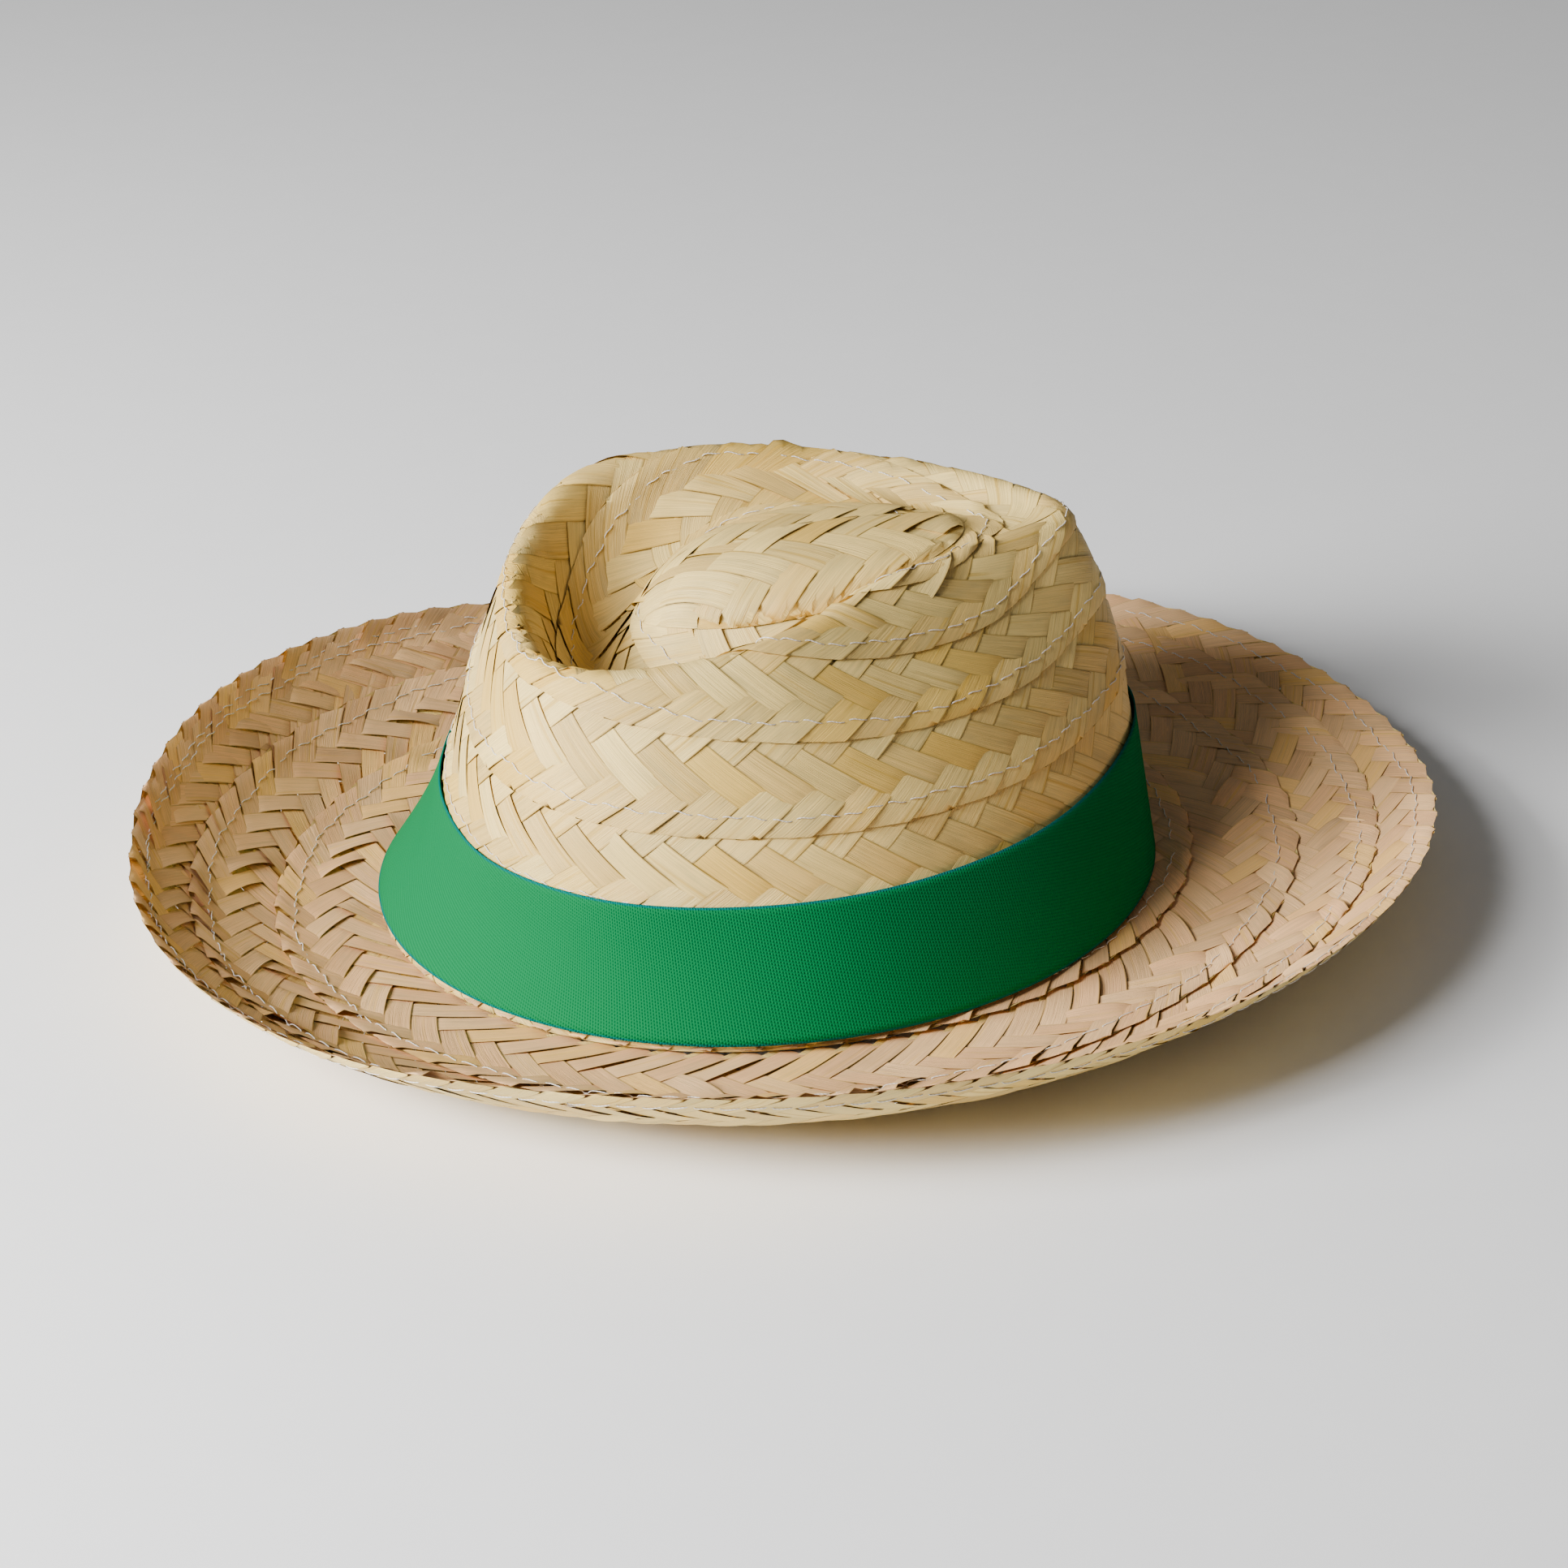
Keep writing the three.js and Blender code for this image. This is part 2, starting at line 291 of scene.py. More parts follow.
@dataclass(frozen=True)
class HatForm:
    """The smooth surfaces of crown and brim, on meridians of samples, that all else is laid on."""

    sizes: HatSizes = HatSizes()
    angles: int = 720
    samples: int = 300

    def crown(self) -> Surface:
        """Cubic B-spline meridians from the wall's foot over the crest and the dent to the mound.

        Returns:
            The middle of the crown's straw.
        """
        s = self.sizes
        angle = np.linspace(0, TURN, self.angles, endpoint=False)
        along, across, up, swell, flare, groove, sink = sections(CROWN_TABLE, angle).T
        cos, sin = np.cos(angle), np.sin(angle)
        foot = np.stack([s.half_length * cos, s.half_width * sin, np.full_like(angle, s.foot)], -1)
        crest = np.stack([s.crest[0] * along, s.crest[1] * across, s.crest[2] * up], -1)
        outward = np.stack([cos, sin, 0 * angle], -1)

        def wall(share: float, inward: Array) -> Array:
            """A point from foot to crest, swollen by a parabola and drawn in by inward."""
            bulge = s.crest[2] * (swell * 4 * share * (1 - share) - inward)
            return foot * (1 - share) + crest * share + outward * bulge[:, None]

        def level(a: Array, b: Array, share: float, height: Array) -> Array:
            """A point between a and b in plan, at a height of its own."""
            plan = a * (1 - share) + b * share
            return np.concatenate([plan[:, :2], height[:, None]], 1)

        depth, fall = s.dent * groove, s.dent * sink / 2
        mound = np.array(s.mound) + (0, 0, s.mound_crowning) + 0 * foot
        rim = (s.mound[0] + s.mound_half[0] * cos, s.mound[1] + s.mound_half[1] * sin, s.mound[2] - fall)
        edge = np.stack(rim, -1)
        floor = level(crest, edge, DENT_FLOOR, crest[:, 2] - depth)
        inner = level(crest, floor, DENT_INNER, crest[:, 2] - depth * INNER_DEPTH)
        outer = level(floor, edge, DENT_OUTER, floor[:, 2] * (1 - OUTER_RISE) + edge[:, 2] * OUTER_RISE)
        cap = level(edge, mound, MOUND_CAP, mound[:, 2])
        walls = [wall(share, inward) for share, inward in zip(WALL_SHARES, (flare, 0 * angle, 0 * angle))]
        controls = [foot, *walls, crest + (0, 0, s.lip), inner, floor, outer, edge, cap, mound]
        return evened(spline(controls, self.samples), self.samples)

    def brim(self) -> Surface:
        """Level for the flat ring, then rising by a power of the distance to the rim; normals up.

        Returns:
            The middle of the brim's straw.
        """
        s = self.sizes
        angle = np.linspace(0, TURN, self.angles, endpoint=False)
        rise, reach = sections(BRIM_TABLE, angle).T
        width, height = s.brim_width * reach, s.brim_rise * np.maximum(rise, 0)
        run = np.sqrt(width**2 - height**2) + s.wall / 2
        share = np.linspace(0, 1, self.samples)[None, :]
        flat = (s.flat_ring / run)[:, None]
        bend = np.maximum(share - flat, 0) / (1 - flat)
        out = run[:, None] * share - s.wall / 2
        normal = np.stack([s.half_width * np.cos(angle), s.half_length * np.sin(angle)], -1)
        normal /= np.linalg.norm(normal, axis=1, keepdims=True)
        x = (s.half_length * np.cos(angle))[:, None] + normal[:, :1] * out
        y = (s.half_width * np.sin(angle))[:, None] + normal[:, 1:] * out
        z = s.wall / 2 + height[:, None] * bend**s.brim_curl
        surface = evened(np.stack([x, y, z], -1), self.samples)
        surface.normals *= -1
        return surface


class Side(Enum):
    """The two faces of the plait."""

    OUTER = 1
    INNER = -1


class Row(Protocol):
    """What a plait and its thread need to know of the row that they are laid in."""

    @property
    def inward(self) -> int:
        """1 if the plait's width lies towards larger distances, -1 towards smaller ones."""

    def edge(self, angle: Array, /) -> Array:
        """Distance of the free edge."""

    def covers(self, angle: Array, distance: Array, /) -> Array:
        """Whether the plait is laid there."""

    def place(self, angle: Array, distance: Array, height: Array, /) -> Array:
        """Positions, raised by a height along the normal."""

    def track(self, inset: float, /) -> tuple[Array, Array]:
        """Angles, and the length run at each on a line inset from the free edge."""


@dataclass(frozen=True)
class Spiral:
    """A Row that winds round a surface. Lengths are in millimetres.

    Args:
        surface: the surface that it is laid on.
        degrees: angles since the front, growing along the plait.
        edges: the free edge's distance from the foot at those angles.
        inward: 1 if the width lies towards larger distances, -1 towards smaller ones.
        even: mean meridian length if rows are spread to the far end, or 0.
        limits: lowest and highest distance that is covered.
        lift: height added to the whole plait.
        unspread: distance up to which rows are not spread.
    """

    surface: Surface
    degrees: Array
    edges: Array
    inward: int
    even: float
    limits: Pair
    lift: float = 0.0
    unspread: float = 40.0

    def station(self, angle: Array, distance: Array) -> Array:
        """Share of the meridian's length; the difference from the mean length is taken up smoothly.

        Args:
            angle: angles in radians.
            distance: distances from the foot.

        Returns:
            Shares of the meridian at each angle.
        """
        total = self.surface.total(angle)
        if not self.even:
            return distance / total
        taken = smooth((distance - self.unspread) / (self.even - self.unspread))
        return (distance + (total - self.even) * taken) / total

    def covers(self, angle: Array, distance: Array) -> Array:
        """Whether the plait is laid there, at whatever angle."""
        return (distance > self.limits[0]) & (distance < self.limits[1])

    def place(self, angle: Array, distance: Array, height: Array) -> Array:
        """Positions at an angle and distance, raised by a height along the normal.

        Args:
            angle: angles in radians.
            distance: distances from the foot.
            height: heights over the plait's middle.

        Returns:
            Positions.
        """
        distance = np.maximum(distance, self.limits[0])
        point, normal = self.surface.at(angle, self.station(angle, distance))
        return point + normal * (height + self.lift)[..., None]

    def track(self, inset: float) -> tuple[Array, Array]:
        """The line inset from the free edge, with a point at every degree.

        Args:
            inset: distance from the free edge.

        Returns:
            Angles in radians, and the length run at each.
        """
        angle = np.radians(np.arange(self.degrees[0], self.degrees[-1], 1.0))
        distance = np.clip(self.edge(angle) + self.inward * inset, *self.limits)
        line = self.place(angle, distance, np.zeros_like(angle))
        steps = np.linalg.norm(np.diff(line, axis=0), axis=1)
        return angle, np.concatenate([[0.0], np.cumsum(steps)])

    def edge(self, angle: Array) -> Array:
        """Distance of the free edge, by linear interpolation."""
        return np.interp(np.degrees(angle), self.degrees, self.edges)


@dataclass(frozen=True)
class MeshData:
    """Arrays for one mesh.

    Args:
        vertices: positions in millimetres, in the hat's own frame.
        quads: four vertex numbers for each face.
        strand: length along the strand, place across it and the strand's own number, by vertex.
        tone: the float's own number, by vertex.
    """

    vertices: Array
    quads: Array
    strand: Array
    tone: Array

    def build(self, name: str, material: bpy.types.Material) -> bpy.types.Object:
        """Makes the object, smooth shaded, with its attributes and material.

        Args:
            name: the object's name.
            material: its finish.

        Returns:
            The object, linked to the scene and riding on the hat.
        """
        mesh = bpy.data.meshes.new(name)
        mesh.vertices.add(len(self.vertices))
        mesh.vertices.foreach_set("co", ((self.vertices + SHIFT) * MM).astype(np.float32).ravel())
        mesh.loops.add(self.quads.size)
        mesh.loops.foreach_set("vertex_index", self.quads.astype(np.int32).ravel())
        mesh.polygons.add(len(self.quads))
        mesh.polygons.foreach_set("loop_start", np.arange(0, self.quads.size, 4, dtype=np.int32))
        mesh.update(calc_edges=True)
        mesh.polygons.foreach_set("use_smooth", np.ones(len(self.quads), dtype=bool))
        strand = mesh.attributes.new("strand", "FLOAT_VECTOR", "POINT")
        strand.data.foreach_set("vector", self.strand.astype(np.float32).ravel())
        tone = mesh.attributes.new("tone", "FLOAT", "POINT")
        tone.data.foreach_set("value", self.tone.astype(np.float32).ravel())
        mesh.validate()
        mesh.materials.append(material)
        obj = bpy.data.objects.new(name, mesh)
        bpy.context.scene.collection.objects.link(obj)
        LOG.info("%s: %d quads", name, len(self.quads))
        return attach(obj, "root")


def joined(parts: list[MeshData]) -> MeshData:
    """All meshes in one, with each one's quads moved on past the vertices before it.

    Args:
        parts: the meshes.

    Returns:
        One mesh.
    """
    starts = np.cumsum([0] + [len(part.vertices) for part in parts[:-1]])
    return MeshData(
        np.concatenate([part.vertices for part in parts]),
        np.concatenate([part.quads + start for part, start in zip(parts, starts)]),
        np.concatenate([part.strand for part in parts]),
        np.concatenate([part.tone for part in parts]),
    )


def grid_quads(count: int, rows: int, columns: int, flip: bool) -> Array:
    """Quads of several grids of vertices, stored one after another.

    Args:
        count: number of grids.
        rows: rows of each grid.
        columns: vertices in a row.
        flip: whether the faces look the other way.

    Returns:
        Four vertex numbers for each quad.
    """
    r, c = np.meshgrid(np.arange(rows - 1), np.arange(columns - 1), indexing="ij")
    first = (r * columns + c).ravel()
    quad = np.stack([first, first + columns, first + columns + 1, first + 1], -1)
    if flip:
        quad = quad[:, ::-1]
    return (quad[None] + (np.arange(count) * rows * columns)[:, None, None]).reshape(-1, 4)


def hashed(index: Array, rising: bool, seed: int) -> Array:
    """A fixed number from 0 to 1 for each strand: the fraction of a large multiple of a sine."""
    return np.mod(np.sin(index * 12.9898 + 78.233 * rising + seed * 0.37) * 43758.5453, 1)


@dataclass(frozen=True)
class Plait:
    """A flat plait of palm leaf in a two over, two under weave. Lengths are in millimetres.

    Strands run aslant to the edge, so floats of one direction form a level parallel to it and the
    next level leans the other way.

    Args:
        level: height of a level of floats.
        stretch: step along the plait, as a share of that.
        width: width of the plait.
        tilt: how far the free edge stands out, so that rows lap.
        thickness: half the distance between the faces.
        tuck: how far ends run on below crossing strands, in strands.
        levels: levels of floats across the plait.
        rows: vertices along a float.
        columns: vertices across a float.
        dive: depth of a float's ends.
        ramp: share of its length over which each end comes up.
        bow: how far its middle stands up.
        tooth: how far folds stand out of the free edge.
        fold: distance over which the faces close there.
        loose: lift along one side of the loosest float.
        calm: the inner face's share of that.
        lean: mean and spread of such a lift along all of a float.
        cover: mean width of a float, in strands.
        uneven: spread of that.
        askew: spread of its turn, in strands.
        crest: distance from the foot past which floats lie less flat.
        onset: distance over which that begins.
        ruffle: how much more they lift there, as a factor less one.
    """

    level: float = 9.6
    stretch: float = 1.3
    width: float = 30.0
    tilt: float = 0.6
    thickness: float = 0.4
    tuck: float = 0.28
    levels: int = 3
    rows: int = 9
    columns: int = 4
    dive: float = 0.38
    ramp: float = 0.15
    bow: float = 0.1
    tooth: float = 1.3
    fold: float = 1.6
    loose: float = 0.35
    calm: float = 0.2
    lean: Pair = (0.07, 0.05)
    cover: float = 1.03
    uneven: float = 0.03
    askew: float = 0.025
    crest: float = 106.0
    onset: float = 10.0
    ruffle: float = 0.0

    @property
    def strand(self) -> float:
        """Width of a strand in the weave's own square lattice."""
        return self.level / ROOT2

    def floats(self, row: Row, side: Side, seed: int) -> MeshData:
        """All floats on one face of the plait.

        Args:
            row: where the plait runs.
            side: the face.
            seed: start of the random numbers.

        Returns:
            One grid of vertices for each float.
        """
        track = row.track(self.width * TRACK_SHARE)
        return joined([self._level(row, side, level, track, seed + level) for level in range(self.levels)])

    def _ends(self, index: Array, level: int, rising: bool) -> tuple[Array, Array]:
        """Where floats start and end along their strands; at the plait's edges they run on to the fold.

        Args:
            index: numbers of the strands.
            level: number of the level, counted from the free edge.
            rising: whether these floats lean up the weave.

        Returns:
            Starts and ends, tucked below the strands that cross them.
        """
        w = self.strand
        low = w if level == 0 else 0.0
        high = w if level == self.levels - 1 else 0.0
        if rising:
            start, end = (index + 2 * level) * w - low, (index + 2 * level + 2) * w + high
        else:
            start, end = (index - 2 * level - 1) * w - high, (index - 2 * level + 1) * w + low
        return start - self.tuck * w, end + self.tuck * w

    def _bulge(self, share: Array, slant: Array, lean: Array, loose: Array) -> Array:
        """A float's own height: its ends dive, its middle bows up, and one of its sides stands up.

        Args:
            share: 0 to 1 along the float.
            slant: -1 to 1 across it.
            lean: how far one side stands up.
            loose: how much more it does halfway along.

        Returns:
            Heights over the plait's face.
        """
        rise = smooth(share / self.ramp) * smooth((1 - share) / self.ramp)
        arch = np.sin(math.pi * share)
        bowed = (rise - 1) * self.dive + self.bow * arch * (1 + loose * 4)
        return bowed + lean * slant + loose * slant * arch

    def _level(
        self, row: Row, side: Side, level: int, track: tuple[Array, Array], seed: int
    ) -> MeshData:
        """Floats of one level: u runs up the weave, v down it, and t = (u - v) / root 2 across it.

        Args:
            row: where the plait runs.
            side: the face.
            level: number of the level, counted from the free edge.
            track: angles along the row, and the length run at each.
            seed: start of the random numbers.

        Returns:
            One grid of vertices for each float that the row covers.
        """
        angles, lengths = track
        rising = (level % 2 == 0) == (side is Side.OUTER)
        w = self.strand
        index = np.arange(2, int(lengths[-1] / (w * ROOT2 * self.stretch)) - 2, dtype=float)
        start, end = (ends[:, None, None] for ends in self._ends(index, level, rising))
        rng = np.random.default_rng(seed)
        each = (len(index), 1, 1)
        p = np.linspace(0, 1, self.rows)[None, :, None]
        q = np.linspace(0, 1, self.columns)[None, None, :]

        wide = self.cover + rng.normal(0, self.uneven, each)
        skew = rng.normal(0, self.askew, each)
        across = (index * w)[:, None, None] + ((q - 0.5) * wide + 0.5 + skew * (p - 0.5) * 2) * w
        length = start + (end - start) * p + 0 * across
        half = 0.5 * w / ROOT2
        low = -self.tooth * (q if rising else 1 - q) + 0 * across
        if rising:
            length = np.clip(length, across + (low - half) * ROOT2, across + (self.width - half) * ROOT2)
            u, v = length, across
        else:
            length = np.clip(length, across - (self.width - half) * ROOT2, across - (low - half) * ROOT2)
            u, v = across, length
        along = (u + v) / ROOT2 * self.stretch
        t = (u - v) / ROOT2 + half
        angle = np.interp(along, lengths, angles)
        distance = row.edge(angle) + row.inward * t

        past = (distance.mean((1, 2), keepdims=True) - self.crest) / self.onset
        ruffled = 1 + self.ruffle * smooth(past)
        lean = rng.normal(*self.lean, each) * ruffled
        free = self.loose if side is Side.OUTER else self.calm * self.loose
        loose = rng.uniform(0, 1, each) ** 4 * free * ruffled
        bulge = self._bulge((length - start) / (end - start), 2 * q - 1, lean, loose)
        fold = np.sqrt(1 - np.clip(1 - (t - low) / self.fold, 0, 1) ** 2)
        face = side.value * fold * (self.thickness + bulge)
        tilt = self.tilt * (1 - 2 * t / self.width)

        kept = row.covers(angle, distance).mean((1, 2)) > LEAST_COVERED
        kept &= np.ptp(length, 1).mean(-1) > LEAST_LENGTH
        kept &= (along.min((1, 2)) > 0) & (along.max((1, 2)) < lengths[-1])
        points = row.place(angle, distance, face + tilt)[kept]
        identity = hashed(index, rising, seed)[:, None, None] + 0 * length
        strand = np.stack([length + identity * STRAND_SPACING, 2 * q - 1 + 0 * length, identity], -1)[kept]
        tone = (rng.uniform(0, 1, each) + 0 * length)[kept]
        flip = (side is Side.OUTER) == (row.inward > 0) == rising
        quads = grid_quads(len(points), self.rows, self.columns, flip)
        return MeshData(points.reshape(-1, 3), quads, strand.reshape(-1, 3), tone.ravel())


@dataclass(frozen=True)
class Stitches:
    """Sewing thread along a plait: long stitches that dip into the straw between them.

    The seam lies inset from the free edge and wanders by slow sines, each of a height, radians a
    millimetre and phase. A stitch swings aslant, stands lift over the plait's middle and sinks below it
    at its ends. Rings of vertices lie a step apart, and a margin at both ends of the row stays bare.
    """

    inset: float = 4.6
    pitch: float = 6.0
    radius: float = 0.16
    lift: float = 0.95
    sink: float = 0.15
    slant: float = 0.3
    wander: tuple[Triple, ...] = ((0.5, 0.11, 0.0), (0.35, 0.37, 1.0))
    margin: float = 5.0
    step: float = 1.0
    sides: int = 5

    def thread(self, row: Row, plait: Plait, side: Side) -> MeshData:
        """A tube that follows height = lift times the fourth root of |sin| along the row.

        Args:
            row: where the plait runs.
            plait: the plait.
            side: the face that the thread lies on.

        Returns:
            The thread, left out where the row isn't laid.
        """
        angles, lengths = row.track(self.inset)
        run = np.arange(self.margin, lengths[-1] - self.margin, self.step)
        angle = np.interp(run, lengths, angles)
        swing = sum(height * np.sin(run * rate + phase) for height, rate, phase in self.wander)
        inset = self.inset + (swing + self.slant * np.sin(TURN * run / self.pitch))
        distance = row.edge(angle) + row.inward * inset
        dip = np.abs(np.sin(math.pi * run / self.pitch)) ** 0.25
        height = plait.tilt * (1 - 2 * inset / plait.width) + side.value * (self.lift * dip - self.sink)
        line = row.place(angle, distance, height)
        return self._tube(line, row.covers(angle, distance), run)

    def _tube(self, line: Array, kept: Array, run: Array) -> MeshData:
        """Rings of vertices round a line, joined where both ends of a step are kept.

        Args:
            line: points of the line.
            kept: whether thread is laid at each point.
            run: length run at each point.

        Returns:
            The tube, without unused vertices.
        """
        tangent = np.gradient(line, axis=0)
        tangent /= np.linalg.norm(tangent, axis=1, keepdims=True)
        side = np.cross(tangent, (0.0, 0.0, 1.0))
        side /= np.linalg.norm(side, axis=1, keepdims=True)
        up = np.cross(side, tangent)
        turn = np.linspace(0, TURN, self.sides, endpoint=False)[None, :, None]
        rings = line[:, None] + self.radius * (np.cos(turn) * side[:, None] + np.sin(turn) * up[:, None])
        steps = np.nonzero(kept[1:] & kept[:-1])[0]
        k = np.arange(self.sides)
        after = (k + 1) % self.sides
        quads = np.stack([k, after, after + self.sides, k + self.sides], -1)
        quads = (quads[None] + (steps * self.sides)[:, None, None]).reshape(-1, 4)
        used = np.unique(quads)
        place = np.zeros(rings.shape[0] * self.sides, dtype=int)
        place[used] = np.arange(len(used))
        along, across = np.repeat(run, self.sides), np.tile(k, len(run))
        strand = np.stack([along, across, 0 * along], -1)
        return MeshData(rings.reshape(-1, 3)[used], place[quads], strand[used], np.zeros(len(used)))


def arithmetic(operation: str, reflected: bool = False) -> Callable[[Operand, object], Operand]:
    """An operator method that adds a Math node, with its operands swapped if it is a reflected one.

    Args:
        operation: the node's operation.
        reflected: whether the number or socket on the left is the other one.

    Returns:
        The method.
    """

    def method(self: Operand, other: object) -> Operand:
        """The operation's result."""
        return self.math(operation, *((other, self) if reflected else (self, other)))

    return method


@dataclass(frozen=True)
class Operand:
    """A shader's output socket in arithmetic; each operation adds a Math node."""

    shader: "Shader"
    socket: bpy.types.NodeSocket

    def math(self, operation: str, *values: object) -> "Operand":
        """One Math node, unclamped."""
        return self.shader.node("ShaderNodeMath", {"operation": operation}, dict(enumerate(values)))

    __add__ = __radd__ = arithmetic("ADD")
    __sub__ = arithmetic("SUBTRACT")
    __rsub__ = arithmetic("SUBTRACT", reflected=True)
    __mul__ = __rmul__ = arithmetic("MULTIPLY")
    __truediv__ = arithmetic("DIVIDE")
    __rtruediv__ = arithmetic("DIVIDE", reflected=True)
    __pow__ = arithmetic("POWER")

    def __abs__(self) -> "Operand":
        """Magnitude."""
        return self.math("ABSOLUTE", self)

    def sine(self) -> "Operand":
        """Sine of radians."""
        return self.math("SINE", self)

    def above(self, edge: float, soft: float) -> "Operand":
        """0 below edge, 1 above edge + soft, with a smooth step between."""
        ends = {"Value": self, "From Min": edge, "From Max": edge + soft}
        return self.shader.node("ShaderNodeMapRange", {"interpolation_type": "SMOOTHSTEP"}, ends)


@dataclass(frozen=True)
class Grain:
    """Fractal noise that is drawn out along a strand.

    Args:
        along: steps of the noise for each millimetre of length.
        across: steps over half the strand's width.
        apart: how far apart strands lie in the noise.
        scale: scale of all three.
        detail: octaves.
    """

    along: float
    across: float
    apart: float
    scale: float
    detail: float


class Shader:
    """Builds one material's nodes."""

    def __init__(self, name: str) -> None:
        """Starts an empty material.

        Args:
            name: the material's name.
        """
        self.material = bpy.data.materials.new(name)
        self.material.use_nodes = True
        self.tree = self.material.node_tree
        self.tree.nodes.clear()

    def add(self, kind: str, settings: dict[str, object], values: dict[object, object]) -> bpy.types.Node:
        """Adds a node.

        Args:
            kind: its type.
            settings: properties by name.
            values: numbers, colours or operands by socket name or number.

        Returns:
            The node.
        """
        made = self.tree.nodes.new(kind)
        for key, value in settings.items():
            setattr(made, key, value)
        for key, value in values.items():
            if isinstance(value, Operand):
                self.tree.links.new(value.socket, made.inputs[key])
            else:
                made.inputs[key].default_value = value
        return made

    def node(
        self, kind: str, settings: dict[str, object], values: dict[object, object], output: int | str = 0
    ) -> Operand:
        """Adds a node as add does, and returns one output, by name or number."""
        return Operand(self, self.add(kind, settings, values).outputs[output])

    def attribute(self, name: str, output: str = "Vector") -> Operand:
        """A mesh attribute."""
        return self.node("ShaderNodeAttribute", {"attribute_name": name}, {}, output)

    def split(self, vector: Operand) -> tuple[Operand, ...]:
        """The vector's three parts."""
        made = self.add("ShaderNodeSeparateXYZ", {}, {0: vector})
        return tuple(Operand(self, output) for output in made.outputs)

    def vector(self, x: Operand | float, y: Operand | float, z: Operand | float) -> Operand:
        """Three values as a vector."""
        return self.node("ShaderNodeCombineXYZ", {}, {0: x, 1: y, 2: z})

    def noise(self, place: Operand, scale: float, detail: float) -> Operand:
        """Fractal noise, about 0.5."""
        return self.node("ShaderNodeTexNoise", {}, {"Vector": place, "Scale": scale, "Detail": detail})

    def grain(self, grain: Grain, along: Operand, across: Operand, own: Operand | float) -> Operand:
        """Noise of length, width and the strand's own number, each times its share of the grain."""
        place = self.vector(along * grain.along, across * grain.across, own * grain.apart)
        return self.noise(place, grain.scale, grain.detail)

    def mix(self, share: Operand | float, *colours: Operand | Triple) -> Operand:
        """The first colour at a share of 0, the second at 1."""
        a, b = (colour if isinstance(colour, Operand) else (*colour, 1.0) for colour in colours)
        return self.node("ShaderNodeMix", {"data_type": "RGBA"}, {0: share, 6: a, 7: b}, 2)

    def finish(
        self, values: dict[str, object], height: Operand, strength: float, distance: float
    ) -> bpy.types.Material:
        """Closes the material with a Principled shader and a bump.

        Args:
            values: the shader's inputs.
            height: the bump's height.
            strength: the bump's strength.
            distance: the bump's distance in metres.

        Returns:
            The material.
        """
        relief = {"Strength": strength, "Distance": distance, "Height": height}
        bump = self.node("ShaderNodeBump", {}, relief, "Normal")
        shader = self.node("ShaderNodeBsdfPrincipled", {}, {**values, "Normal": bump})
        self.add("ShaderNodeOutputMaterial", {}, {"Surface": shader})
        return self.material


@dataclass(frozen=True)
class StrawFinish:
    """Palm leaf: pale or warm strands with golden edges, fibres and streaks, grey patches, and painted
    shade along their sides.
    """

    name: str
    pale: Triple
    warm: Triple
    golden: Triple
    grey: Triple
    fibre: Grain = Grain(0.03, 11.0, 31.0, 2.0, 5.0)
    streak: Grain = Grain(0.012, 1.6, 57.0, 1.6, 1.0)
    cloud: Grain = Grain(0.09, 0.8, 9.0, 1.0, 2.0)

    def material(self) -> bpy.types.Material:
        """Fibres are noise drawn out along the strand; edges are |across| near 1.

        Returns:
            The material.
        """
        s = Shader(self.name)
        along, across, identity = s.split(s.attribute("strand"))
        tone = s.attribute("tone", "Fac")
        fibre = s.grain(self.fibre, along, across, identity)
        streak = s.grain(self.streak, along, across, identity)
        cloud = s.grain(self.cloud, along, across, tone)
        colour = s.mix(identity.above(0.25, 0.6), self.pale, self.warm)
        colour = s.mix(cloud.above(0.48, 0.3) * 0.45, colour, self.grey)
        colour = s.mix((tone.above(0.84, 0.06) + streak.above(0.6, 0.12)) * 0.7, colour, self.golden)
        edge = abs(across).above(0.86, 0.13)
        colour = s.mix(edge * (0.35 + 0.5 * identity), colour, self.golden)
        # painted shade: each strand's colour is darkened by up to 0.4 at its outermost sides, along the
        # lines where it meets its neighbours
        rim = 1 - 0.4 * abs(across).above(0.93, 0.06)
        shade = (0.34 + 0.98 * fibre + 0.3 * tone) * rim
        shades = s.vector(shade, shade, shade)
        colour = s.node("ShaderNodeVectorMath", {"operation": "MULTIPLY"}, {0: colour, 1: shades})
        values = {"Base Color": colour, "Roughness": 0.4 + 0.25 * fibre, "Specular IOR Level": 0.45}
        return s.finish(values, fibre + 0.4 * streak, 0.5, 0.0006)


@dataclass(frozen=True)
class ThreadFinish:
    """White sewing thread with a slight sheen, and painted shade that darkens it between its yarns."""

    name: str = "sewing_thread"
    colour: Triple = (0.86, 0.80, 0.72)
    shade: float = 0.72

    def material(self) -> bpy.types.Material:
        """The thread's lay is a sine along it.

        Returns:
            The material.
        """
        s = Shader(self.name)
        along, across, _ = s.split(s.attribute("strand"))
        lay = (along * 7.0 + across * 1.3).sine() * 0.5 + 0.5
        # painted shade: the colour darkens by the shade factor as the lay's sine rises, standing for shade
        # between the yarns
        colour = s.mix(lay, self.colour, tuple(c * self.shade for c in self.colour))
        values = {"Base Color": colour, "Roughness": 0.35 + 0.15 * lay, "Specular IOR Level": 0.6}
        return s.finish(values, lay, 0.4, 0.0002)


